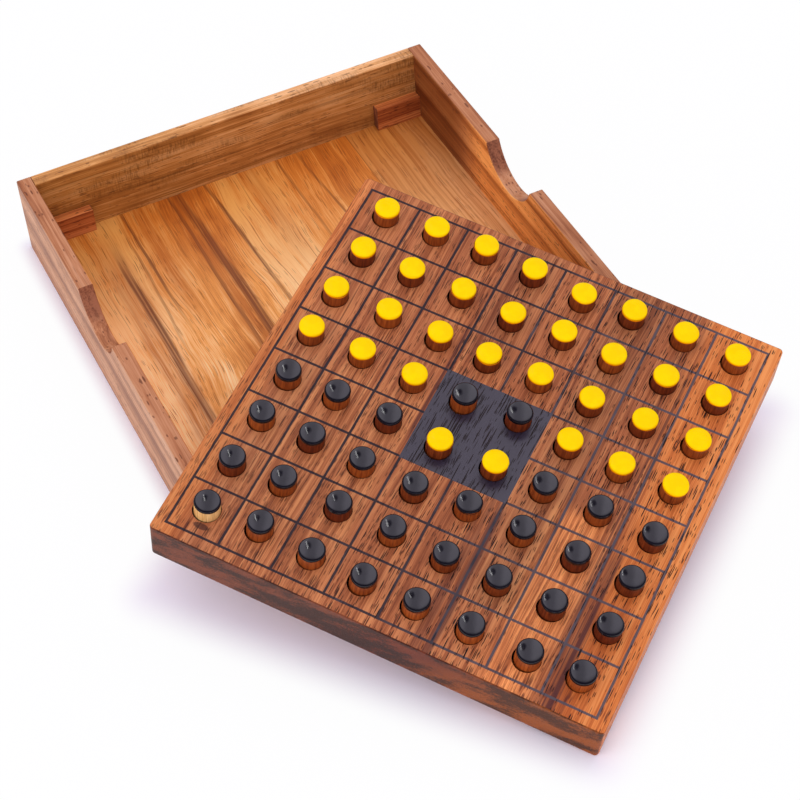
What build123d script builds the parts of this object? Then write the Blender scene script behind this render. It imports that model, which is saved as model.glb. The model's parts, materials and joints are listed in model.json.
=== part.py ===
from build123d import *

import os
from math import atan2, cos, radians, sin

# Reversi game set: a wooden tray, a thick board drilled with blind holes, and reversible pegs.
# Millimetres, +Z up. The origin is the centre of the tray's underside, on the table top.
# +X runs to the right wall and +Y to the back wall. The board is out of its tray: it leans on
# the top of the front wall, with one corner on the table in front of it.

# Tray
tray_width = 180.0
tray_height = 35.0
wall = 6.0
floor_thickness = 5.5
wall_ease = 0.5
notch_radius = 19.0
notch_depth = 12.6

# Cleats in the tray's corners, which carry the board when it is put away
cleat_length = 20.0
cleat_thickness = 4.0
cleat_ease = 0.4

# Board
board_play = 3.0
board_thickness = 18.0
board_drop = 0.7
board_border = 4.35
board_corner = 1.6
board_ease = 0.6
squares = 8

# Pegs
peg_diameter = 9.3
peg_length = 18.0
peg_standout = 7.2
peg_dome = 0.9
peg_edge = 0.8
peg_play = 0.35
peg_seat_gap = 0.05

# Each peg leans in its hole: how far off, and which way in degrees from the board's right
peg_lean_play = 0.3
peg_lean_way = 3.0
peg_lean_spread = 25.0

# How the board lies: its turn about the vertical, and where its near corner meets the table
board_turn = 51.7
corner_out = 146.8
corner_left = 10.0
lean_gap = 0.1

# The holes are drilled by hand: how far each is off the middle of its square, to the right
# and to the back. One line is one row of squares, from the front row to the back row.
holes_off_right = (
    (0.2, -0.3, 0.1, -0.2, -0.4, -0.3, 0.9, -0.3),
    (-0.6, -1.4, 0.0, 0.7, 0.8, 0.4, 0.6, 0.8),
    (0.0, -0.6, -0.6, 0.0, -0.5, 0.0, 0.5, 0.6),
    (0.3, -0.7, -0.2, 0.1, 0.8, -0.2, 0.5, 1.1),
    (-0.9, -0.4, 0.4, 0.0, 0.3, 0.4, 0.4, 0.2),
    (-0.7, 0.5, 0.9, 0.4, 0.4, 0.5, 0.7, 0.4),
    (0.1, 0.1, 0.4, 0.8, 0.6, 0.3, 0.5, 0.3),
    (0.0, 0.2, -0.2, -0.1, 0.5, -0.4, 0.0, 0.3),
)
holes_off_back = (
    (0.4, 1.6, 0.3, -0.6, -0.6, -0.4, -0.9, 0.4),
    (0.0, 0.9, 0.9, 0.5, -0.2, -0.2, -0.3, 0.6),
    (0.8, 0.9, 0.1, -0.7, 1.3, 0.7, 0.2, 0.2),
    (0.2, 0.7, 0.5, -0.8, 0.2, -0.1, 0.2, -0.7),
    (0.7, 0.7, -0.4, 0.0, 2.2, 0.0, -0.4, 0.3),
    (0.0, 0.5, -0.1, -0.4, 0.4, -0.6, 0.1, 0.9),
    (0.4, 0.7, 0.8, -0.3, 1.1, -0.1, 0.5, 1.2),
    (0.7, 1.7, 2.2, 1.3, -0.5, 1.0, 0.9, 0.4),
)

# Sizes that follow
inside = tray_width - 2 * wall
board_side = inside - board_play
cleat_height = tray_height - floor_thickness - board_thickness - board_drop
pitch = (board_side - 2 * board_border) / squares
hole_radius = peg_diameter / 2 + peg_play
hole_depth = peg_length - peg_standout + peg_seat_gap

os.makedirs("parts", exist_ok=True)


def save(piece, name):
    """Label a finished piece and write it to its own file."""
    piece.part.label = name
    export_step(piece.part, f"parts/{name}.step")


def board_position():
    """The plane of the board's top face: origin at its middle, x along the rows of squares."""
    tilt = atan2(tray_height, corner_out)
    turn = radians(board_turn)
    x_dir = Vector(cos(turn), -sin(turn) * cos(tilt), -sin(turn) * sin(tilt))
    normal = Vector(0, -sin(tilt), cos(tilt))
    # The near corner is the lowest point, so its depth below the top face's middle sets the height.
    core = board_side / 2 - board_corner
    corner_down = (core * (sin(turn) + cos(turn)) + board_corner - board_ease) * sin(tilt)
    height = corner_down + (board_thickness - board_ease) * cos(tilt) + board_ease
    # The underside lies on the outer top edge of the front wall.
    rise = board_thickness + lean_gap + (tray_height - height) * cos(tilt)
    middle_y = -tray_width / 2 - rise / sin(tilt)
    middle_x = -corner_left + board_side / 2 * (sin(turn) - cos(turn))
    return Plane(origin=(middle_x, middle_y, height), x_dir=x_dir, z_dir=normal)


def side_wall(outer_x, name):
    """A full-length side wall with its finger notch, from the outer face inwards."""
    inwards = -1 if outer_x > 0 else 1
    outer_face = Plane(origin=(outer_x, 0, 0), x_dir=(0, 1, 0), z_dir=(1, 0, 0))
    with BuildPart() as side:
        with BuildSketch(outer_face):
            Rectangle(tray_width, tray_height, align=(Align.CENTER, Align.MIN))
            with Locations((0, tray_height - notch_depth + notch_radius)):
                Circle(notch_radius, mode=Mode.SUBTRACT)
        extrude(amount=inwards * wall)
        underside = side.faces().sort_by(Axis.Z)[0]
        fillet(side.edges() - underside.edges(), wall_ease)
    save(side, name)


def cross_wall(outer_y, name):
    """The back or front wall, butted between the side walls."""
    middle_y = outer_y - wall / 2 if outer_y > 0 else outer_y + wall / 2
    with BuildPart() as cross:
        with BuildSketch():
            with Locations((0, middle_y)):
                Rectangle(inside, wall)
        extrude(amount=tray_height)
        fillet(cross.edges().filter_by(Axis.X).group_by(Axis.Z)[-1], wall_ease)
    save(cross, name)


def floor_panel():
    """The floor, let in between the walls and flush with their undersides."""
    with BuildPart() as panel:
        with BuildSketch():
            Rectangle(inside, inside)
        extrude(amount=floor_thickness)
    save(panel, "floor_panel")


def cleat(side_x, side_y, name):
    """A corner cleat on the floor, glued to the back or front wall."""
    middle_x = side_x * (inside - cleat_length) / 2
    middle_y = side_y * (inside - cleat_thickness) / 2
    with BuildPart() as block:
        with BuildSketch(Plane.XY.offset(floor_thickness)):
            with Locations((middle_x, middle_y)):
                Rectangle(cleat_length, cleat_thickness)
        extrude(amount=cleat_height)
        fillet(block.faces().sort_by(Axis.Z)[-1].edges(), cleat_ease)
    save(block, name)


def hole_place(column, row):
    """The middle of a hole in the board's own x and y."""
    x = (column - (squares - 1) / 2) * pitch + holes_off_right[row][column]
    y = (row - (squares - 1) / 2) * pitch + holes_off_back[row][column]
    return x, y


def playing_board(top_face):
    """The thick slab with a blind hole in each square."""
    places = [hole_place(column, row) for row in range(squares) for column in range(squares)]
    with BuildPart(top_face) as board:
        with BuildSketch(top_face):
            RectangleRounded(board_side, board_side, board_corner)
        extrude(amount=-board_thickness)
        faces = board.faces().sort_by(Axis(top_face.origin, top_face.z_dir))
        fillet(faces[0].edges() + faces[-1].edges(), board_ease)
        with Locations(*places):
            Hole(hole_radius, depth=hole_depth)
    save(board, "playing_board")


def peg_axis(top_face, column, row):
    """A peg's axis from the foot up. Each peg leans to the board's right, within its hole's play."""
    index = column + squares * row
    share = 0.6 + 0.4 * (index * 7 % 11) / 10
    shift = share * peg_lean_play
    lean_way = radians(peg_lean_way + peg_lean_spread * sin(index * radians(137.5)))
    shift_x = shift * cos(lean_way)
    shift_y = shift * sin(lean_way)
    x, y = hole_place(column, row)
    foot_depth = hole_depth - peg_seat_gap
    foot = top_face.from_local_coords(Vector(x - shift_x, y - shift_y, -foot_depth))
    mouth = top_face.from_local_coords(Vector(x + shift_x, y + shift_y, 0))
    return Axis(foot, mouth - foot)


def peg_half_section(axis):
    """Half the outline of a domed peg, on a plane that holds the peg's axis."""
    radial = axis.direction.cross(Vector(0, 1, 0)).normalized()
    half_section = Plane(origin=axis.position, x_dir=radial, z_dir=radial.cross(axis.direction))
    radius = peg_diameter / 2
    with BuildSketch(half_section) as section:
        with BuildLine():
            TangentArc((0, 0), (radius, peg_dome), tangent=(1, 0))
            Line((radius, peg_dome), (radius, peg_length - peg_dome))
            TangentArc((0, peg_length), (radius, peg_length - peg_dome), tangent=(1, 0))
            Line((0, peg_length), (0, 0))
        make_face()
        fillet(section.vertices().group_by(Axis.X)[-1], peg_edge)
    return section.sketch


def single_peg(top_face, column, row):
    """One peg as a piece of its own, named after its square."""
    axis = peg_axis(top_face, column, row)
    with BuildPart() as peg:
        revolve(peg_half_section(axis), axis=axis)
    save(peg, f"peg_{'abcdefgh'[column]}{row + 1}")


def peg_row(top_face, row):
    """The pegs of a whole edge row as one group of separate solids."""
    with BuildPart() as pegs:
        for column in range(squares):
            axis = peg_axis(top_face, column, row)
            revolve(peg_half_section(axis), axis=axis)
    save(pegs, f"pegs_row_{row + 1}")


top_face = board_position()
side_wall(-tray_width / 2, "left_wall")
side_wall(tray_width / 2, "right_wall")
cross_wall(tray_width / 2, "back_wall")
cross_wall(-tray_width / 2, "front_wall")
floor_panel()
for side_x, side in ((-1, "left"), (1, "right")):
    for side_y, end in ((1, "back"), (-1, "front")):
        cleat(side_x, side_y, f"cleat_{end}_{side}")
playing_board(top_face)
peg_row(top_face, 0)
for row in range(1, squares - 1):
    for column in range(squares):
        single_peg(top_face, column, row)
peg_row(top_face, squares - 1)
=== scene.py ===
import json
import math

import bpy
import numpy as np
from mathutils import Matrix, Vector, noise


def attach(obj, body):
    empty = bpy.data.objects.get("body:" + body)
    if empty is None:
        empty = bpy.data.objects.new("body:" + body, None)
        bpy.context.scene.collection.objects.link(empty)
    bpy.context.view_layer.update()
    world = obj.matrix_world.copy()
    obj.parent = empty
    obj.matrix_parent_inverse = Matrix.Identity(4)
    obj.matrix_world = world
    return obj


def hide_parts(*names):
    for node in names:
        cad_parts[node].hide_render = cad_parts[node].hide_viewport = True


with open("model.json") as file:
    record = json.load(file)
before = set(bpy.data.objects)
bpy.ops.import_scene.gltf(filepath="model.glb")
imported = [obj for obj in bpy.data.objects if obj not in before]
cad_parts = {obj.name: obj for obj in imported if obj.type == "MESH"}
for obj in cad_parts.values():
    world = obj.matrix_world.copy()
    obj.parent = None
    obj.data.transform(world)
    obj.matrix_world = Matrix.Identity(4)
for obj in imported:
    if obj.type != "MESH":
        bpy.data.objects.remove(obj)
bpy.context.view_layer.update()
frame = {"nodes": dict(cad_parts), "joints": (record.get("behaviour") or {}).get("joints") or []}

MM = 0.001
X, Y, Z = Vector((1, 0, 0)), Vector((0, 1, 0)), Vector((0, 0, 1))

# The photograph's camera
CAMERA_AT = Vector((-0.21821, -0.5948, 0.59527))
CAMERA_AIM = Vector((0.00439, -0.06251, 0.0))
CAMERA_ROLL = math.radians(-4.518)
CAMERA_LENS = 98.784
SENSOR_WIDTH = 36.0

# Over the set, where the photograph's view mirrored in the board meets the lamps
LAMPS_ABOVE = Vector((0.36, 0.20, 1.29))
LAMPS_RIGHT = Vector((0.899, -0.438, 0.0))
MIRRORED_VIEW = Vector((0.272, 0.256, 0.928))
LAMPS_TARGET = (0.0, -0.1, 0.0)
TABLE_HALF = 4.0

# The board's print. Places in wood are in millimetres.
FILES = "abcdefgh"
SQUARES = 8
BOARD_BORDER = 4.35 * MM
LINE_WIDTH = 0.95
KNOT = (-67.0, -74.4, 0.0)

# The seam between the floor's two boards, right of the middle
FLOOR_SEAM = 50.1

# Pegs
PEG_GAP = 3 * MM
PEG_MIDDLE, PEG_MOUTH = 9.0, 1.8
DOWEL_RADIUS = 4.58 * MM
DOWEL_TAPER = ((1.2 * MM, 0.92), (1.5 * MM, 1.0))
CAP_RADIUS = 4.64 * MM
CAP_SINK = 0.12 * MM
CAP_DOME = 0.45 * MM
CAP_ROUND_IN, CAP_ROUND_UP = 1.0 * MM, 0.8 * MM
CAP_ROUND_TURN = math.radians(70)
CAP_ROUND_STEPS = 7
CAP_DOME_STEPS = 8
CAP_BEAD = ((0.0, 0.08), (0.02, 0.03), (0.10, 0.0), (0.3, 0.0))
CAP_THIN = (1.0, 1.0, 1.0, 0.9, 0.55, 0.2)
SEGMENTS = 56


def vertices(mesh):
    points = np.empty(len(mesh.vertices) * 3)
    mesh.vertices.foreach_get("co", points)
    return points.reshape(-1, 3)


def highest(node_name, axis):
    """How far a CAD node reaches along X, Y or Z, in millimetres."""
    return float((vertices(frame["nodes"][node_name].data) @ np.array(axis)).max() / MM)


def lowest(node_name, axis):
    return -highest(node_name, -axis)


def measure_board():
    """The middle of the board's top face, its axes, half its side, its thickness and a square's width."""
    mesh = frame["nodes"]["playing_board"].data
    pull = next(j for j in frame["joints"] if j["name"].endswith("_pull"))
    up = Vector(pull["axis"]).normalized()
    right_side = max(
        (p for p in mesh.polygons if abs(p.normal.dot(up)) < 0.001 and p.normal.x > 0.3 and p.normal.y < 0),
        key=lambda p: p.area,
    )
    x_dir = (right_side.normal - up * right_side.normal.dot(up)).normalized()
    y_dir = up.cross(x_dir)
    points = vertices(mesh)
    along_x, along_y, along_up = (points @ np.array(axis) for axis in (x_dir, y_dir, up))
    middle = x_dir * (along_x.min() + along_x.max()) / 2 + y_dir * (along_y.min() + along_y.max()) / 2
    middle += up * along_up.max()
    side = float(along_x.max() - along_x.min())
    thickness = float(along_up.max() - along_up.min())
    return middle, x_dir, y_dir, up, side / 2, thickness, (side - 2 * BOARD_BORDER) / SQUARES


BOARD_MIDDLE, BOARD_X, BOARD_Y, BOARD_UP, BOARD_HALF, BOARD_THICKNESS, PITCH = measure_board()
TRAY_HALF = highest("right_wall", X)
TRAY_TOP = highest("back_wall", Z)
INSIDE_HALF = lowest("right_wall", X)
CLEAT_TOP = highest("cleat_back_left", Z)


class Nodes:
    """A node tree. Each method adds a node and returns its output socket."""

    def __init__(self, tree):
        self.tree = tree

    def add(self, kind, inputs=None, **settings):
        node = self.tree.nodes.new(kind)
        for key, value in settings.items():
            setattr(node, key, value)
        for key, value in (inputs or {}).items():
            self.put(node.inputs[key], value)
        return node

    def put(self, socket, value):
        if isinstance(value, bpy.types.NodeSocket):
            self.tree.links.new(value, socket)
        elif socket.type == "RGBA" and len(value) == 3:
            socket.default_value = (*value, 1.0)
        else:
            socket.default_value = value

    def math(self, operation, *values):
        node = self.add("ShaderNodeMath", operation=operation)
        for socket, value in zip(node.inputs, values):
            self.put(socket, value)
        return node.outputs[0]

    def plus(self, *values):
        total = values[0]
        for value in values[1:]:
            total = self.math("ADD", total, value)
        return total

    def times(self, *values):
        product = values[0]
        for value in values[1:]:
            product = self.math("MULTIPLY", product, value)
        return product

    def centred(self, value, size):
        """A 0 to 1 value turned into one that swings by size about nothing."""
        return self.math("MULTIPLY", self.math("SUBTRACT", value, 0.5), size)

    def absolute(self, value):
        return self.math("ABSOLUTE", value)

    def distance(self, value, place):
        return self.absolute(self.math("SUBTRACT", value, place))

    def vector_math(self, operation, *vectors, output=0):
        node = self.add("ShaderNodeVectorMath", operation=operation)
        for socket, vector in zip(node.inputs, vectors):
            self.put(socket, vector)
        return node.outputs[output]

    def dot(self, vector, axis):
        return self.vector_math("DOT_PRODUCT", vector, tuple(axis), output="Value")

    def length(self, vector):
        return self.vector_math("LENGTH", vector, output="Value")

    def scaled(self, vector, scale):
        return self.vector_math("MULTIPLY", vector, scale)

    def moved(self, vector, offset):
        return self.vector_math("ADD", vector, offset)

    def vector(self, x, y, z):
        return self.add("ShaderNodeCombineXYZ", {"X": x, "Y": y, "Z": z}).outputs[0]

    def outside_square(self, across, along, half):
        """How far a point is outside a square, given its places from the middle; less than 0 inside."""
        over = [self.math("SUBTRACT", self.absolute(place), half) for place in (across, along)]
        out = [self.math("MAXIMUM", distance, 0.0) for distance in over]
        corner = self.math("SQRT", self.plus(*(self.times(distance, distance) for distance in out)))
        return self.plus(corner, self.math("MINIMUM", self.math("MAXIMUM", *over), 0.0))

    def noise(self, vector, scale=(1.0, 1.0, 1.0), detail=2.0, roughness=0.5):
        """Noise from 0 to 1. Its scale is in features per unit, along each direction."""
        vector = self.scaled(vector, scale)
        inputs = {"Vector": vector, "Scale": 1.0, "Detail": detail, "Roughness": roughness}
        return self.add("ShaderNodeTexNoise", inputs).outputs["Fac"]

    def cells(self, vector, scale):
        """Distance to the nearest cell's middle, and a random number for that cell."""
        node = self.add("ShaderNodeTexVoronoi", {"Vector": self.scaled(vector, scale), "Scale": 1.0})
        pick = self.add("ShaderNodeSeparateXYZ", {"Vector": node.outputs["Color"]}).outputs[0]
        return node.outputs["Distance"], pick

    def smooth(self, value, low, high, to_low=0.0, to_high=1.0):
        """Ease from to_low to to_high as a value goes from low to high. Low may be the larger of the two."""
        inputs = {"Value": value, "From Min": low, "From Max": high, "To Min": to_low, "To Max": to_high}
        return self.add("ShaderNodeMapRange", inputs, interpolation_type="SMOOTHSTEP").outputs["Result"]

    def ramp(self, value, stops):
        node = self.add("ShaderNodeValToRGB", {"Fac": value})
        elements = node.color_ramp.elements
        while len(elements) < len(stops):
            elements.new(0.5)
        for element, (place, colour) in zip(elements, stops):
            element.position = place
            element.color = (*colour, 1.0)
        return node.outputs["Color"]

    def mix(self, factor, a, b, blend="MIX"):
        node = self.add("ShaderNodeMix", data_type="RGBA", blend_type=blend)
        self.put(node.inputs["Factor"], factor)
        self.put(node.inputs[6], a)
        self.put(node.inputs[7], b)
        return node.outputs[2]


class Shader(Nodes):
    """A material with one Principled surface."""

    def __init__(self, name):
        self.material = bpy.data.materials.new(name)
        self.material.use_nodes = True
        super().__init__(self.material.node_tree)
        self.surface = self.tree.nodes["Principled BSDF"]

    def bump(self, height, distance, strength=1.0):
        node = self.add("ShaderNodeBump", {"Height": height, "Distance": distance, "Strength": strength})
        self.put(self.surface.inputs["Normal"], node.outputs[0])

    def finish(self, colour, roughness, **constants):
        self.put(self.surface.inputs["Base Color"], colour)
        self.put(self.surface.inputs["Roughness"], roughness)
        for key, value in constants.items():
            self.surface.inputs[key.replace("_", " ")].default_value = value
        return self.material


def srgb(red, green, blue):
    """A colour written as it looks, 0 to 255, in the linear numbers that shaders use."""
    shares = (c / 255 for c in (red, green, blue))
    return tuple(((c + 0.055) / 1.055) ** 2.4 if c > 0.04 else c / 12.92 for c in shares)


class Wood(Shader):
    """Oiled hardwood. Its grain runs along one direction through the whole piece.

    Places in it are in millimetres: u along the grain, v across it, and w square to both.
    """

    def __init__(self, name, along, across, look, origin=Vector(), seed=0.0):
        super().__init__(name)
        self.look = look
        point = self.moved(self.add("ShaderNodeTexCoord").outputs["Object"], tuple(-origin))
        self.u = self.dot(point, along / MM)
        self.v = self.dot(point, across / MM)
        self.w = self.dot(point, along.cross(across) / MM)
        raw = self.vector(self.u, self.v, self.w)
        self.place = self.moved(raw, (seed * 91.0, seed * 37.0, seed * 53.0))
        slow = self.noise(self.place, (0.011, 0.02, 0.02), detail=1.0)
        quick = self.noise(self.place, (0.05, 0.05, 0.05), detail=1.0)
        sway = self.plus(self.centred(slow, look["sway"]), self.centred(quick, look["sway"] * 0.12))
        self.bent = self.moved(self.place, self.vector(0.0, sway, 0.0))
        normal = self.add("ShaderNodeNewGeometry").outputs["Normal"]
        self.end = self.smooth(self.absolute(self.dot(normal, along)), 0.3, 0.65)
        self.end_tint = (1.0, 1.0, 1.0)
        self.grow()

    def grow(self):
        """The plain wood: wide bands, narrow stripes and fibres, then vessel lines and thin dark ones."""
        look, bent, band = self.look, self.bent, self.look["band"]
        bands = self.noise(bent, (0.003, band, band), detail=2.0)
        stripes = self.noise(bent, (0.006, band * 7, band * 7), detail=3.0, roughness=0.6)
        self.fibres = self.noise(bent, (0.05, 2.6, 2.6), detail=3.0, roughness=0.65)
        blotch = self.noise(self.place, (0.06, 0.09, 0.09), detail=2.0)
        tone = self.plus(
            self.times(bands, look["bands"]),
            self.times(stripes, 1 - look["bands"]),
            self.centred(blotch, look["blotch"]),
            self.centred(self.fibres, look["fibre"]),
        )
        self.tone = self.smooth(tone, 0.5 - look["spread"], 0.5 + look["spread"])
        self.colour = self.ramp(self.tone, tuple(zip((0.0, 0.5, 1.0), look["colours"])))
        cluster = self.noise(self.place, (0.008, 0.35, 0.35), detail=1.0)
        share = self.smooth(cluster, 0.36, 0.64, look["pore_share"] * 0.25, look["pore_share"])
        self.pore = self.math(
            "MAXIMUM",
            self.dashes(look["pore_length"], look["pore_width"], share),
            self.times(self.dashes(look["pore_length"] * 0.45, look["pore_width"] * 0.85, share), 0.85),
        )
        streaks = self.noise(bent, (0.012, 1.5, 1.5), detail=2.0)
        self.stain(self.smooth(streaks, 0.60, 0.74, 0.0, look["line"]), look["dark_line"])

    def stain(self, mask, colour):
        self.colour = self.mix(mask, self.colour, colour)

    def tint(self, mask, gain):
        self.colour = self.mix(mask, self.colour, gain, "MULTIPLY")

    def ragged(self, size):
        """Places along the grain, uneven by size, so that a change of tone follows the grain."""
        return self.plus(self.u, self.centred(self.tone, size))

    def dashes(self, length, width, share):
        """Short vessel lines along the grain, which end grain shows as dots."""
        distance, pick = self.cells(self.bent, (1 / length, 1 / width, 0.5 / width))
        return self.times(self.smooth(distance, 0.36, 0.25), self.math("LESS_THAN", pick, share))

    def patch(self, across, along, gain, smoothing=0.0):
        """A paler or darker stretch of the wood, between two places across and two along the grain."""
        wander = self.centred(self.noise(self.bent, (0.02, 0.12, 0.12), detail=2.0), 9.0)
        mask = 1.0
        for place, (low, high) in ((self.plus(self.v, wander), across), (self.plus(self.u, wander), along)):
            mask = self.times(mask, self.smooth(place, low - 4, low + 4))
            mask = self.times(mask, self.smooth(place, high + 4, high - 4))
        self.tint(mask, gain)
        if smoothing:
            self.pore = self.times(self.pore, self.math("MULTIPLY_ADD", mask, -smoothing, 1.0))

    def streak(self, at, half_width, strength, colour, slant=0.0, span=None, body=0.35, wave=0.0, fade=4.0):
        """A dark bundle of lines along the grain. Body is how dark it is between them."""
        wander = self.noise(self.moved(self.place, (at * 7.0, 0.0, 0.0)), (0.02, 0.0, 0.0), detail=2.0)
        wander = self.centred(wander, half_width * 0.9 + wave)
        middle = self.math("MULTIPLY_ADD", self.u, slant, at)
        offset = self.absolute(self.plus(self.v, self.times(middle, -1.0), wander))
        envelope = self.smooth(offset, half_width, half_width * 0.35)
        lines = self.smooth(self.noise(self.place, (0.008, 1.3, 1.3), detail=2.0), 0.44, 0.6, body, 1.0)
        mask = self.times(envelope, lines, strength)
        if span:
            ragged = self.plus(self.u, self.centred(self.noise(self.place, (0.0, 1.0, 1.0)), 14.0))
            starts = self.smooth(ragged, span[0] - fade, span[0] + fade)
            mask = self.times(mask, starts, self.smooth(ragged, span[1] + fade, span[1] - fade))
        self.stain(mask, colour)

    def done(self, seal=None):
        """The finished material, with its end grain. Seal is where a clear coat lies."""
        look = self.look
        self.stain(self.times(self.pore, look["pore_depth"]), look["pore"])
        swirl = self.vector(0.0, self.plus(self.v, self.times(self.w, 1.4)), self.times(self.w, 3.0))
        swirl = self.noise(swirl, (0.0, 0.04, 0.04), detail=4.0, roughness=0.65)
        flecks = self.noise(self.place, (1.0, 1.7, 1.7), detail=1.0)
        flecks = self.plus(self.smooth(swirl, 0.38, 0.66), self.centred(flecks, 1.3))
        end = self.mix(self.smooth(flecks, 0.0, 1.0), look["end"], look["end_fleck"])
        self.stain(self.end, self.mix(1.0, end, self.end_tint, "MULTIPLY"))
        roughness = self.smooth(self.fibres, 0.25, 0.75, look["rough"] - 0.05, look["rough"] + 0.08)
        self.bump(self.math("SUBTRACT", self.times(self.fibres, 0.3), self.pore), 0.07 * MM, look["bump"])
        constants = {"Specular_IOR_Level": look["specular"]}
        if seal:
            self.put(self.surface.inputs["Coat Weight"], seal)
            constants["Coat_Roughness"] = 0.24
        return self.finish(self.colour, roughness, **constants)


# How each wood differs. "bands" is the wide bands' share of the tone and "band" how close they lie, "spread"
# is half the range of tones shown, and the vessel lines, "pore", have a length and width in millimetres.
BASE_LOOK = {
    "sway": 10.0, "band": 0.09, "bands": 0.5, "blotch": 0.15, "fibre": 0.3, "spread": 0.16,
    "pore_length": 6.0, "pore_width": 0.7, "pore_share": 0.3, "pore_depth": 0.75,
    "line": 0.5, "rough": 0.46, "bump": 0.7, "specular": 0.2,
    "end": srgb(104, 55, 35), "end_fleck": srgb(158, 97, 66),
}
FLOOR_LOOK = {
    **BASE_LOOK, "sway": 14.0, "band": 0.03, "bands": 0.7, "fibre": 0.36, "spread": 0.17,
    "colours": (srgb(176, 92, 30), srgb(226, 144, 66), srgb(254, 200, 132)), "line": 0.7,
    "pore": srgb(112, 52, 20), "dark_line": srgb(166, 88, 38), "pore_share": 0.3, "pore_depth": 0.5,
    "pore_length": 14.0, "pore_width": 0.5,
}
BACK_LOOK = {
    **BASE_LOOK, "sway": 4.0, "band": 0.1, "blotch": 0.3, "fibre": 0.6, "bands": 0.6, "spread": 0.26,
    "colours": (srgb(144, 86, 36), srgb(192, 130, 66), srgb(222, 168, 106)), "line": 0.45,
    "pore": srgb(92, 52, 22), "dark_line": srgb(118, 70, 30), "pore_share": 0.3, "pore_depth": 0.6,
}
SIDE_LOOK = {
    **BASE_LOOK, "sway": 4.0, "band": 0.1, "spread": 0.2,
    "colours": (srgb(130, 70, 40), srgb(182, 118, 78), srgb(208, 150, 110)),
    "pore": srgb(92, 46, 28), "dark_line": srgb(120, 66, 42), "pore_share": 0.22,
}
CLEAT_LOOK = {
    **BASE_LOOK, "sway": 3.0, "band": 0.2,
    "colours": (srgb(136, 64, 30), srgb(190, 106, 54), srgb(214, 134, 76)),
    "pore": srgb(70, 26, 12), "dark_line": srgb(120, 52, 22), "pore_share": 0.25,
}
BOARD_LOOK = {
    **BASE_LOOK, "sway": 5.0, "band": 0.075, "bands": 0.3, "spread": 0.22, "fibre": 0.65,
    "colours": (srgb(126, 64, 35), srgb(174, 102, 61), srgb(208, 135, 84)),
    "pore": srgb(22, 7, 6), "dark_line": srgb(80, 34, 23),
    "pore_share": 0.6, "pore_depth": 1.0, "pore_length": 8.0, "pore_width": 0.54, "line": 0.7,
    "end": srgb(56, 27, 18), "end_fleck": srgb(116, 60, 38),
}
STREAK_COLOUR = srgb(78, 38, 36)
TOP_DEPTH = 0.12

# Enamels: two close colours that mix, and the colour where it is thin
YELLOW = (1.0, 0.68, 0.0), (1.0, 0.64, 0.0), (0.86, 0.2, 0.0)
BLACK = (0.004, 0.003, 0.007), (0.006, 0.005, 0.010), (0.004, 0.003, 0.003)
INK = (0.010, 0.010, 0.017)
WORN_INK = (0.085, 0.070, 0.082)
PANEL_INK = (0.020, 0.014, 0.029)


def give(node_name, material):
    """Put one material on a CAD node."""
    materials = frame["nodes"][node_name].data.materials
    materials.clear()
    materials.append(material)


def floor_wood():
    """The floor, glued up from two boards. The right one is paler and finer."""
    wood = Wood("floor wood", Y, X, FLOOR_LOOK, seed=3.0)
    right = wood.smooth(wood.v, FLOOR_SEAM - 0.2, FLOOR_SEAM + 0.2)
    fine = wood.noise(wood.bent, (0.01, 0.9, 0.9), detail=3.0)
    paler = ((0.3, srgb(176, 104, 50)), (0.55, srgb(214, 150, 88)), (0.8, srgb(226, 166, 104)))
    wood.stain(wood.times(right, 0.8), wood.ramp(fine, paler))
    # It is a deeper orange near the back wall; towards the front it is paler and bluer, a painted sheen.
    wood.tint(wood.smooth(wood.ragged(30.0), 20.0, 90.0), (0.82, 0.64, 0.36))
    wood.tint(wood.smooth(wood.ragged(40.0), 55.0, -10.0), (1.25, 1.5, 1.9))
    seam = wood.smooth(wood.distance(wood.v, FLOOR_SEAM), 0.35, 0.1)
    wood.stain(wood.times(seam, 0.5), srgb(110, 56, 24))
    dark, burnt = srgb(104, 50, 24), srgb(168, 82, 24)
    for at, half_width, strength, colour, slant, span, wave in (
        (-27.0, 8.0, 0.6, burnt, -0.03, (-60.0, 90.0), 2.0),
        (-66.0, 7.0, 0.55, burnt, 0.02, (-60.0, 60.0), 4.0),
        (-46.0, 4.0, 0.45, burnt, 0.0, (20.0, 90.0), 3.0),
        (6.0, 5.0, 0.35, burnt, -0.03, (30.0, 90.0), 3.0),
        (-63.0, 2.4, 0.8, dark, 0.02, (-60.0, 58.0), 3.0),
        (-52.0, 0.9, 0.85, dark, 0.0, (20.0, 90.0), 2.0),
        (-57.0, 0.8, 0.6, dark, 0.03, (0.0, 70.0), 3.0),
        (-37.5, 0.7, 0.5, dark, 0.0, (50.0, 90.0), 1.5),
        (-31.0, 1.0, 0.85, dark, 0.0, (-20.0, 90.0), 1.5),
        (-24.5, 2.6, 0.75, dark, -0.03, (-40.0, 90.0), 2.0),
        (-11.0, 1.1, 0.8, dark, -0.04, (-30.0, 90.0), 1.5),
        (19.5, 0.8, 0.6, dark, -0.02, (20.0, 90.0), 2.0),
        (31.5, 0.8, 0.6, dark, -0.05, (20.0, 90.0), 1.5),
    ):
        wood.streak(at, half_width, strength, colour, slant, span, body=0.6, wave=wave, fade=22.0)
    return wood.done()


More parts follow.
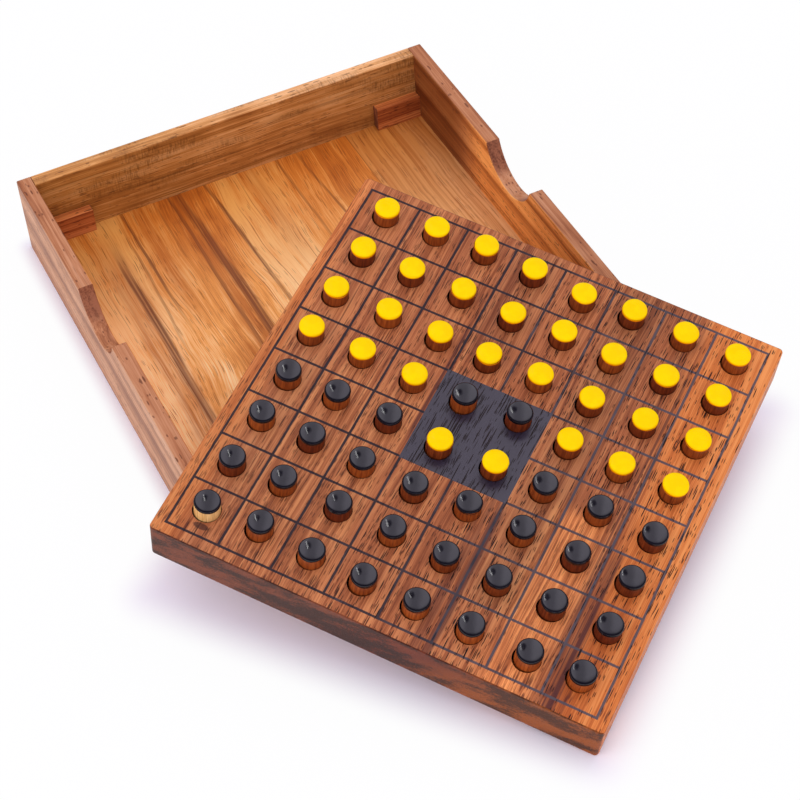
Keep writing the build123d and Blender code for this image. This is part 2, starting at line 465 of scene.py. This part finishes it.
def cross_wall_wood(name, seed):
    """A back or front wall: cross-hatched darker stain along the upper half, and a painted highlight along
    its rim's top face.
    """
    wood = Wood(name, X, Z, BACK_LOOK, seed=seed)
    hatch = wood.noise(wood.place, (1.6, 0.3, 0.3), detail=2.0, roughness=0.6)
    hatch = wood.smooth(hatch, 0.42, 0.66, 0.3, 1.0)
    blotch = wood.smooth(wood.noise(wood.place, (0.03, 0.14, 0.14), detail=2.0), 0.46, 0.62)
    upper = wood.smooth(wood.v, 8.0, 26.0, 0.35, 1.0)
    wood.stain(wood.times(hatch, blotch, upper, 0.6), srgb(92, 54, 22))
    for at, half_width, strength, span in (
        (29.5, 0.8, 0.6, (-80.0, -30.0)),
        (25.5, 1.0, 0.6, (10.0, 60.0)),
        (17.0, 0.8, 0.5, (-50.0, 40.0)),
    ):
        wood.streak(at, half_width, strength, srgb(96, 54, 22), 0.0, span, body=0.4, wave=2.0, fade=12.0)
    wood.tint(wood.smooth(wood.ragged(40.0), 10.0, -50.0), (0.94, 0.92, 0.8))
    # Painted highlight: the rim's top face is made paler and bluer.
    wood.tint(wood.smooth(wood.v, TRAY_TOP - 0.7, TRAY_TOP - 0.2), (1.4, 1.54, 2.1))
    return wood.done()


def side_wall_wood(name, seed, outwards):
    """A side wall: its outer face paler and bluer, a painted sheen of light; more orange inside, and darker
    inside near the back.
    """
    wood = Wood(name, Y, Z, SIDE_LOOK, seed=seed)
    from_middle = wood.times(wood.w, outwards)
    # Painted light: the outer face is made paler and bluer for the light and sheen it catches.
    wood.tint(wood.smooth(from_middle, TRAY_HALF - 0.5, TRAY_HALF - 0.1), (1.12, 1.3, 1.4))
    inner = wood.smooth(from_middle, INSIDE_HALF + 0.5, INSIDE_HALF + 0.1)
    wood.tint(wood.times(inner, wood.smooth(wood.u, 20.0, 50.0)), (0.52, 0.38, 0.21))
    wood.tint(wood.times(inner, wood.smooth(wood.u, 50.0, 20.0)), (1.7, 1.6, 0.85))
    return wood.done()


def cleat_wood():
    """The cleats' wood, with a painted highlight along their top faces."""
    wood = Wood("cleat wood", X, Z, CLEAT_LOOK, seed=6.0)
    # Painted highlight: the top faces are made paler.
    wood.tint(wood.smooth(wood.v, CLEAT_TOP - 0.5, CLEAT_TOP - 0.2), (1.35, 1.5, 1.5))
    return wood.done()


def board_wood():
    """The slab: its paler and darker stretches, the burnt streaks through it, and what is on its top face."""
    wood = Wood("board wood", BOARD_Y, BOARD_X, BOARD_LOOK, BOARD_MIDDLE, 7.0)
    x, y, below = wood.v, wood.u, wood.w
    # Its right-hand edge is a paler, more orange wood, and its left-hand margin a little so.
    edge = wood.plus(x, wood.centred(wood.noise(wood.place, (0.02, 0.0, 0.0)), 8.0), wood.times(y, 0.05))
    warm = ((0.0, srgb(187, 95, 40)), (0.5, srgb(221, 127, 59)), (1.0, srgb(240, 155, 83)))
    warm = wood.ramp(wood.tone, warm)
    wood.stain(wood.smooth(edge, 54.0, 64.0, 0.0, 0.85), warm)
    wood.stain(wood.smooth(edge, -70.0, -80.0, 0.0, 0.6), warm)
    for across, along, gain, smoothing in (
        ((-64.0, -22.0), (-90.0, 4.0), (1.12, 1.2, 1.2), 0.0),
        ((-90.0, -60.0), (-90.0, 20.0), (0.88, 0.9, 0.95), 0.0),
        ((-20.0, 0.0), (30.0, 90.0), (0.86, 0.88, 0.92), 0.0),
        ((22.0, 40.0), (-58.0, 84.0), (0.84, 0.9, 0.94), 0.0),
        ((37.0, 55.0), (-90.0, -12.0), (1.6, 1.65, 1.4), 0.55),
        ((58.0, 76.0), (-90.0, -38.0), (0.86, 0.8, 0.78), 0.0),
    ):
        wood.patch(across, along, gain, smoothing)
    # Its vessel lines are finer towards the left, and long dark ones cross the front margin.
    wood.pore = wood.times(wood.pore, wood.smooth(x, -60.0, 20.0, 0.65, 1.0))
    strokes = wood.math("MAXIMUM", wood.dashes(13.0, 1.5, 0.5), wood.dashes(8.0, 1.1, 0.35))
    uneven = wood.centred(wood.noise(wood.bent, (0.0, 0.6, 0.6)), 8.0)
    margin = wood.smooth(wood.plus(y, uneven), -73.0, -77.0)
    wood.stain(wood.times(strokes, margin, 0.75), srgb(84, 34, 24))
    for at, half_width, strength, slant, span, body in (
        (-20.9, 0.8, 0.8, 0.0, (-10.0, 40.0), 0.8),
        (15.0, 7.0, 0.45, 0.0, (-90.0, -18.0), 0.0),
        (19.8, 2.3, 0.85, 0.0, (-90.0, -22.0), 0.8),
        (57.0, 6.0, 0.75, -0.075, None, 0.1),
        (61.5, 2.6, 0.7, -0.01, (-90.0, -20.0), 0.7),
    ):
        wood.streak(at, half_width, strength, STREAK_COLOUR, slant, span, body)
    # The end grain turns from brown to orange towards the right.
    to_right = wood.smooth(wood.plus(x, wood.times(below, 1.5)), -10.0, 70.0)
    wood.end_tint = wood.ramp(to_right, (
        (0.0, (1.08, 0.96, 0.7)),
        (0.12, (1.05, 0.68, 0.38)),
        (0.42, (0.86, 0.57, 0.34)),
        (1.0, (1.75, 1.6, 0.38)),
    ))
    panel = print_squares(wood)
    # Painted shade: the blind holes' walls and bottoms are darkened inside.
    side, thickness = BOARD_HALF / MM, BOARD_THICKNESS / MM
    within = [wood.smooth(wood.absolute(place), side - 0.5, side - 1.0) for place in (x, y)]
    hole_shade = wood.times(wood.smooth(below, 0.1, 0.7), wood.smooth(below, thickness - 0.1, thickness - 1.0))
    wood.stain(wood.times(hole_shade, *within), srgb(22, 9, 7))
    # The four stained squares have a clear coat, broken by their own vessel lines.
    wood.pore = wood.math("MAXIMUM", wood.pore, wood.times(panel, wood.dashes(15.0, 0.6, 0.7)))
    return wood.done(wood.times(panel, wood.math("SUBTRACT", 1.0, wood.pore)))


def inside_square(wood, half):
    x, y = (wood.math("LESS_THAN", wood.absolute(place), half) for place in (wood.v, wood.u))
    return wood.times(x, y)


def print_squares(wood):
    """The printed grid, worn at the right, the four stained squares, and the small knot at the front left.

    Gives back where the stained squares are.
    """
    x, y, below = wood.v, wood.u, wood.w
    pitch = PITCH / MM
    top = wood.math("LESS_THAN", below, TOP_DEPTH)
    uneven = wood.centred(wood.noise(wood.bent, (0.5, 2.5, 2.5)), 0.3)
    lines = 0.0
    for place in (x, y):
        nearest = wood.times(wood.math("ROUND", wood.math("DIVIDE", place, pitch)), pitch)
        offset = wood.plus(wood.distance(place, nearest), uneven)
        lines = wood.math("MAXIMUM", lines, wood.smooth(offset, LINE_WIDTH / 2 + 0.08, LINE_WIDTH / 2 - 0.1))
    printed = wood.times(lines, inside_square(wood, SQUARES / 2 * pitch + LINE_WIDTH / 2))
    wear = wood.centred(wood.noise(wood.place, (0.1, 0.1, 0.1)), 120.0)
    ink = wood.mix(wood.smooth(wood.plus(x, wear), -30.0, 70.0), INK, WORN_INK)
    wood.stain(wood.times(printed, top, 0.95), ink)
    panel = wood.times(inside_square(wood, pitch + LINE_WIDTH / 2), top)
    wood.stain(panel, PANEL_INK)
    from_knot = wood.vector_math("SUBTRACT", wood.vector(x, y, 0.0), KNOT)
    from_knot = wood.length(wood.scaled(from_knot, (0.34, 0.8, 0.0)))
    spot = wood.smooth(wood.plus(from_knot, wood.times(uneven, 0.8)), 1.05, 0.85)
    wood.stain(wood.times(spot, 0.75, wood.smooth(below, 3.0, 1.0)), srgb(60, 34, 32))
    return panel


def dress_cad_nodes():
    give("floor_panel", floor_wood())
    give("back_wall", cross_wall_wood("back wall wood", 1.0))
    give("front_wall", cross_wall_wood("front wall wood", 2.0))
    give("left_wall", side_wall_wood("left wall wood", 4.0, -1.0))
    give("right_wall", side_wall_wood("right wall wood", 5.0, 1.0))
    cleat = cleat_wood()
    for end in ("back", "front"):
        for side in ("left", "right"):
            give(f"cleat_{end}_{side}", cleat)
    give("playing_board", board_wood())


def peg_places():
    """Each peg's row, column, node, foot, direction and height, read from the CAD solids."""
    places = []
    for name, node in frame["nodes"].items():
        if not name.startswith("peg"):
            continue
        points = vertices(node.data)
        # A row's node holds eight pegs, with gaps between them along the board's right.
        across = (points - np.array(BOARD_MIDDLE)) @ np.array(BOARD_X)
        order = np.argsort(across)
        gaps = np.nonzero(np.diff(across[order]) > PEG_GAP)[0] + 1
        for solid in np.split(points[order], gaps):
            spread, axes = np.linalg.eigh(np.cov((solid - solid.mean(0)).T))
            direction = Vector(axes[:, np.argmax(spread)])
            if direction.dot(BOARD_UP) < 0:
                direction.negate()
            middle = Vector((solid.min(0) + solid.max(0)) / 2)
            along = (solid - np.array(middle)) @ np.array(direction)
            seat = middle - BOARD_MIDDLE
            column = round(seat.dot(BOARD_X) / PITCH + (SQUARES - 1) / 2)
            row = round(seat.dot(BOARD_Y) / PITCH + (SQUARES - 1) / 2)
            foot = middle + direction * along.min()
            places.append((row, column, name, foot, direction, along.max() - along.min()))
    return sorted(places)


def enamel(name, colour, patch, edge, roughness, shine):
    """Dipped enamel of two close colours. How thin it is towards its edge is kept on the mesh."""
    s = Shader(name)
    place = s.scaled(s.add("ShaderNodeTexCoord").outputs["Object"], (1 / MM, 1 / MM, 1 / MM))
    ripple = s.noise(place, (0.5, 0.5, 0.5), detail=1.0)
    s.bump(ripple, 0.4 * MM, 0.08)
    shade = s.smooth(s.noise(place, (0.3, 0.3, 0.3), detail=3.0), 0.35, 0.65)
    thin = s.add("ShaderNodeAttribute", attribute_name="tone").outputs["Fac"]
    rough = s.smooth(s.noise(place, (2.0, 2.0, 2.0)), 0.3, 0.7, roughness * 0.7, roughness * 1.3)
    colour = s.mix(thin, s.mix(shade, colour, patch), edge)
    return s.finish(colour, rough, Specular_IOR_Level=shine)


def dowel_wood():
    """Dowel wood, its grain along the peg. How pale a peg is, is kept on its mesh."""
    s = Shader("peg wood")
    place = s.add("ShaderNodeAttribute", attribute_name="grain_mm").outputs["Vector"]
    tone = s.add("ShaderNodeAttribute", attribute_name="tone").outputs["Fac"]
    fibres = s.noise(place, (0.1, 1.4, 1.4), detail=4.0, roughness=0.6)
    fine = s.noise(place, (0.05, 5.0, 5.0))
    deep = s.ramp(fibres, ((0.3, srgb(66, 19, 8)), (0.7, srgb(112, 44, 18))))
    middle = s.ramp(fibres, ((0.3, srgb(118, 48, 15)), (0.7, srgb(174, 88, 32))))
    pale = s.ramp(fibres, ((0.3, srgb(206, 150, 80)), (0.7, srgb(238, 196, 128))))
    colour = s.mix(s.smooth(tone, 0.0, 0.5), deep, middle)
    colour = s.mix(s.smooth(tone, 0.6, 1.0), colour, pale)
    colour = s.mix(s.smooth(fine, 0.45, 0.3, 0.0, 0.6), colour, srgb(60, 24, 14))
    # Where a peg sits in its hole's mouth, either way up, a dark ring is painted: painted shade where the
    # dowel meets the hole, and wear.
    height = s.add("ShaderNodeSeparateXYZ", {"Vector": place}).outputs[0]
    off_middle = s.distance(height, PEG_MIDDLE)
    above = s.smooth(off_middle, PEG_MOUTH + 0.25, PEG_MOUTH)
    mouth_shade_and_wear = s.times(above, s.smooth(off_middle, PEG_MOUTH - 0.8, PEG_MOUTH - 0.1))
    colour = s.mix(s.times(mouth_shade_and_wear, 0.55), colour, srgb(26, 10, 8))
    s.bump(fibres, 0.05 * MM, 0.5)
    return s.finish(colour, 0.4, Specular_IOR_Level=0.2)


def turned_mesh(name, rings, tones, closed, foot, direction, seed):
    """A skin of rings round an axis.

    A ring gives each angle its height and radius, and tones has one value a ring. The mesh keeps both places
    and tones for its material.
    """
    side = direction.cross(Y).normalized()
    other = direction.cross(side)
    angles = [2 * math.pi * k / SEGMENTS for k in range(SEGMENTS)]
    local = []
    for ring in rings:
        for angle in angles:
            height, radius = ring(angle)
            local.append((height, radius * math.cos(angle), radius * math.sin(angle)))
    points = [foot + direction * h + side * a + other * b for h, a, b in local]
    faces = []
    for ring in range(len(rings) - 1):
        for k in range(SEGMENTS):
            a, b = ring * SEGMENTS + k, ring * SEGMENTS + (k + 1) % SEGMENTS
            faces.append((a, b, b + SEGMENTS, a + SEGMENTS))
    last = (len(rings) - 1) * SEGMENTS
    faces.append(tuple(range(last, last + SEGMENTS)))
    if closed:
        faces.append(tuple(reversed(range(SEGMENTS))))
    mesh = bpy.data.meshes.new(name)
    mesh.from_pydata(points, [], faces)
    mesh.shade_smooth()
    mesh.attributes.new("grain_mm", "FLOAT_VECTOR", "POINT")
    mesh.attributes.new("tone", "FLOAT", "POINT")
    # Each piece is cut from its own place in the wood.
    shift = np.array((0.0, seed * 17.0, seed * 31.0))
    mesh.attributes["grain_mm"].data.foreach_set("vector", (np.array(local) / MM + shift).ravel())
    mesh.attributes["tone"].data.foreach_set("value", np.repeat(tones, SEGMENTS))
    return mesh


def cap_rings(edge, height, seed):
    """An enamelled end: a bead at its wavy lower edge, a short side, a rounded rim and a low dome."""
    # The rim is rounder than the CAD peg's, so the whole end sits a little lower to stay inside it.
    top = height - CAP_SINK
    shoulder = top - CAP_DOME - CAP_ROUND_UP
    lean = 0.18 * MM * (0.4 + noise.random())
    lobes = 0.006 + 0.010 * noise.random()

    def edge_height(angle):
        wave = math.cos(angle + seed) + 0.5 * math.cos(2 * angle + 1.7 * seed)
        return edge + lean * (wave + 0.3 * math.cos(5 * angle + 2.3 * seed))

    def uneven(angle, radius):
        wave = 1 + math.cos(2 * angle + seed) + 0.6 * (1 + math.cos(3 * angle + seed * 2))
        return radius * (1 - lobes * wave)

    rings = []
    for lift, inset in CAP_BEAD:
        rings.append(lambda a, lift=lift, inset=inset: (edge_height(a) + lift * MM, CAP_RADIUS - inset * MM))
    for step in range(CAP_ROUND_STEPS + 1):
        turn = CAP_ROUND_TURN * step / CAP_ROUND_STEPS
        rim_height = shoulder + CAP_ROUND_UP * math.sin(turn)
        rim_radius = CAP_RADIUS - CAP_ROUND_IN * (1 - math.cos(turn))
        rings.append(lambda a, h=rim_height, r=rim_radius: (h, uneven(a, r)))
    for step in range(1, CAP_DOME_STEPS + 1):
        share = 1 - step / (CAP_DOME_STEPS + 0.4)
        dome_height = top - (top - rim_height) * share**2
        rings.append(lambda a, h=dome_height, r=rim_radius * share: (h, uneven(a, r)))
    return rings


def add_piece(name, mesh, material, node_name):
    """One of a peg's pieces, which replace its CAD node and ride its body."""
    mesh.materials.append(material)
    piece = bpy.data.objects.new(name, mesh)
    bpy.context.scene.collection.objects.link(piece)
    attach(piece, node_name)
    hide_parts(node_name)


def add_pegs():
    """The pegs, yellow up on the back rows and black up on the front ones, the middle four the other way."""
    noise.seed_set(11)
    wood = dowel_wood()
    yellow = enamel("yellow enamel", *YELLOW, 0.2, 0.05)
    black = enamel("black enamel", *BLACK, 0.09, 0.5)
    for index, (row, column, node_name, foot, direction, height) in enumerate(peg_places()):
        centre = column in (3, 4) and row in (3, 4)
        yellow_up = (row >= SQUARES / 2) != centre
        upper, lower = (yellow, black) if yellow_up else (black, yellow)
        name = f"peg_{FILES[column]}{row + 1}"
        # The front left peg is of pale wood, and the rest of the front row a little paler than the others.
        tone = 1.0 if (row, column) == (0, 0) else 0.30 * noise.random() + (0.3 if row == 0 else 0.08)
        paint = (1.75 + 0.35 * noise.random()) * MM
        lower_half = [*DOWEL_TAPER, (height / 2, 1.0)]
        sides = lower_half + [(height - h, share) for h, share in reversed(DOWEL_TAPER)]
        sides = [lambda a, h=h, share=share: (h, DOWEL_RADIUS * share) for h, share in sides]
        mesh = turned_mesh(f"{name}_dowel", sides, [tone] * len(sides), True, foot, direction, index)
        add_piece(f"{name}_dowel", mesh, wood, node_name)
        top = foot + direction * height
        for end, material, base, up, seed in (
            ("upper", upper, foot, direction, index * 2.4),
            ("lower", lower, top, -direction, index * 2.4 + 1.0),
        ):
            rings = cap_rings(height - paint, height, seed)
            thin = [*CAP_THIN] + [0.0] * (len(rings) - len(CAP_THIN))
            mesh = turned_mesh(f"{name}_{end}_end", rings, thin, False, base, up, index)
            add_piece(f"{name}_{end}_end", mesh, material, node_name)


def aimed(at, aim):
    """The placing of a lamp or camera that looks from one point at another."""
    return Matrix.Translation(at) @ (Vector(aim) - Vector(at)).to_track_quat("-Z", "Y").to_matrix().to_4x4()


def softbox(name, at, size, brightness, mirrored=False):
    """A soft light, its power worked out from how bright its face looks. Gloss mirrors it only if told to."""
    light = bpy.data.lights.new(name, "AREA")
    light.shape = "RECTANGLE"
    light.size, light.size_y = size
    light.energy = brightness * math.pi * size[0] * size[1]
    lamp = bpy.data.objects.new(name, light)
    lamp.matrix_world = aimed(at, LAMPS_TARGET)
    lamp.visible_glossy = mirrored
    bpy.context.scene.collection.objects.link(lamp)


def add_sky():
    """A soft dome of light, dimmer near the ground. The camera sees it white."""
    world = bpy.data.worlds.new("studio")
    bpy.context.scene.world = world
    world.use_nodes = True
    s = Nodes(world.node_tree)
    direction = s.add("ShaderNodeTexCoord").outputs["Generated"]
    height = s.dot(direction, Z)
    front = s.smooth(s.dot(direction, (-0.35, -0.94, 0.0)), -0.3, 0.8, 0.0, 0.62)
    dome = s.plus(s.smooth(height, 0.0, 0.5, 0.42, 0.68), front)
    # Glossy surfaces see a pale ceiling over the set, with a dark oval in it left of the middle.
    right = (LAMPS_RIGHT - MIRRORED_VIEW * LAMPS_RIGHT.dot(MIRRORED_VIEW)).normalized()
    across = s.dot(direction, right)
    beyond = s.dot(direction, MIRRORED_VIEW.cross(right))
    toward = s.dot(direction, MIRRORED_VIEW.normalized())
    sides = s.smooth(s.absolute(across), 0.06, 0.34, 1.2, 1.9)
    shiny = s.times(s.smooth(toward, 0.66, 0.88, 0.06, 1.0), sides)
    off_oval = s.plus(across, 0.12)
    oval = s.math("SQRT", s.plus(s.times(off_oval, off_oval), s.times(beyond, beyond, 0.3)))
    shiny = s.times(shiny, s.smooth(oval, 0.05, 0.13, 0.12, 1.0))
    path = s.add("ShaderNodeLightPath").outputs
    glossy = path["Is Glossy Ray"]
    seen = s.math("MAXIMUM", path["Is Camera Ray"], path["Is Transmission Ray"])
    colour = s.mix(seen, (0.99, 0.94, 1.07), (1.0, 1.0, 1.0))
    light = s.plus(s.times(dome, s.math("SUBTRACT", 1.0, glossy)), s.times(shiny, glossy))
    light = s.plus(s.times(light, s.math("SUBTRACT", 1.0, seen)), seen)
    background = world.node_tree.nodes["Background"]
    s.put(background.inputs["Color"], colour)
    s.put(background.inputs["Strength"], light)


def add_lamps():
    softbox("right softbox", LAMPS_ABOVE + LAMPS_RIGHT * 0.34, (0.64, 1.1), 1.15)
    softbox("strip light", LAMPS_ABOVE - LAMPS_RIGHT * 0.30, (0.03, 0.5), 10.0, mirrored=True)
    softbox("left fill", Vector((-1.2, -0.1, 0.45)), (0.8, 0.6), 2.0)


def add_table():
    """The table top, a hair below the set, with the white background and the set's shadow in it."""
    corners = [(x * TABLE_HALF, y * TABLE_HALF, 0.0) for x, y in ((-1, -1), (1, -1), (1, 1), (-1, 1))]
    mesh = bpy.data.meshes.new("table")
    mesh.from_pydata(corners, [], [(0, 1, 2, 3)])
    s = Shader("pale table")
    mesh.materials.append(s.finish((0.95, 0.93, 0.99, 1.0), 0.7, Specular_IOR_Level=0.2))
    # It is plain white to the camera away from the set, and keeps its shadows close to it.
    place = s.add("ShaderNodeTexCoord").outputs["Object"]
    from_tray = s.outside_square(s.dot(place, X), s.dot(place, Y), TRAY_HALF * MM)
    place = s.moved(place, -BOARD_MIDDLE)
    from_board = s.outside_square(s.dot(place, BOARD_X), s.dot(place, BOARD_Y), BOARD_HALF)
    share = s.smooth(s.math("MINIMUM", s.times(from_tray, 2.2), from_board), -3 * MM, 17 * MM, 0.0, 0.96)
    path = s.add("ShaderNodeLightPath").outputs
    seen = s.math("MAXIMUM", path["Is Camera Ray"], path["Is Glossy Ray"])
    seen = s.math("MAXIMUM", seen, path["Is Transmission Ray"])
    white = s.add("ShaderNodeEmission", {"Strength": 1.0}).outputs[0]
    blend = s.add("ShaderNodeMixShader", {"Fac": s.times(seen, share)})
    s.put(blend.inputs[1], s.surface.outputs[0])
    s.put(blend.inputs[2], white)
    s.put(s.tree.nodes["Material Output"].inputs["Surface"], blend.outputs[0])
    table = bpy.data.objects.new("table", mesh)
    table.location.z = -0.02 * MM
    bpy.context.scene.collection.objects.link(table)


def add_camera():
    data = bpy.data.cameras.new("photo camera")
    data.lens = CAMERA_LENS
    data.sensor_width = SENSOR_WIDTH
    camera = bpy.data.objects.new("photo camera", data)
    camera.matrix_world = aimed(CAMERA_AT, CAMERA_AIM) @ Matrix.Rotation(CAMERA_ROLL, 4, "Z")
    bpy.context.scene.collection.objects.link(camera)
    bpy.context.scene.camera = camera


bpy.context.scene.view_settings.view_transform = "Standard"
add_camera()
add_sky()
add_lamps()
add_table()
dress_cad_nodes()
add_pegs()
